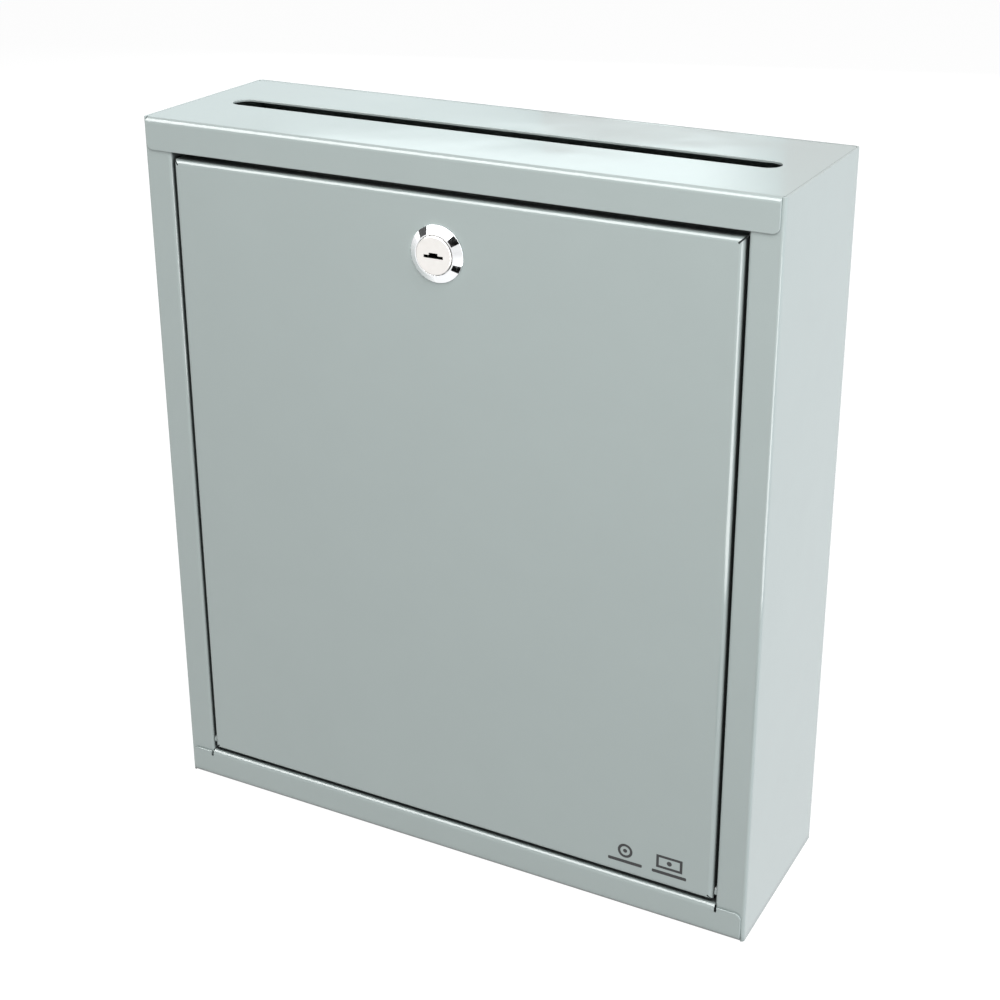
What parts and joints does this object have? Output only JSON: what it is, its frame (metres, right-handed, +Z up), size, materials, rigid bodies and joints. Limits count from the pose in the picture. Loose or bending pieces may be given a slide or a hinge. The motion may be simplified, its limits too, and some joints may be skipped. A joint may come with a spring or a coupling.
{
  "type": "donation box",
  "caption": "Slim sheet-steel donation box with a deposit slot along the top, a front door hinged at its bottom corners and a cam lock.",
  "frame": {"origin": "middle of the cabinet's underside", "axes": "+Z up, -Y out of the door, +X to the right seen from the front"},
  "size_m": [0.3, 0.0951, 0.339],
  "materials": {
    "paint": "glossy light grey coating on sheet steel",
    "chrome": "bright chrome on die-cast zinc",
    "brass": "stamped",
    "spring_steel": "bright wire",
    "zinc_plate": "zinc plated steel"
  },
  "bodies": {
    "cabinet": {"body_wrap": "paint", "top_panel": "paint", "bottom_panel": "paint", "door_stop_left": "paint", "door_stop_right": "paint", "strike": "paint", "hinge_pin_left": "paint", "hinge_pin_right": "paint", "hinge_washer_left": "paint", "hinge_washer_right": "paint"},
    "door": {"door_panel": "paint", "lock_housing": "chrome", "lock_tooth_washer": "zinc_plate", "lock_nut": "zinc_plate"},
    "lock_core": {"lock_plug": "chrome", "lock_wafers": "brass", "wafer_springs": "spring_steel", "lock_stop_washer": "zinc_plate", "lock_cam": "zinc_plate", "cam_spring_washer": "zinc_plate", "cam_bolt": "zinc_plate"}
  },
  "joints": [
    {"name": "door_hinge", "type": "hinge", "parent": "cabinet", "child": "door", "pos_m": [0, -0.0413, 0.0207], "axis": [1, 0, 0], "range_deg": [0, 90]},
    {"name": "lock_turn", "type": "hinge", "parent": "door", "child": "lock_core", "pos_m": [0, -0.0455, 0.2965], "axis": [0, -1, 0], "range_deg": [0, 90]}
  ]
}
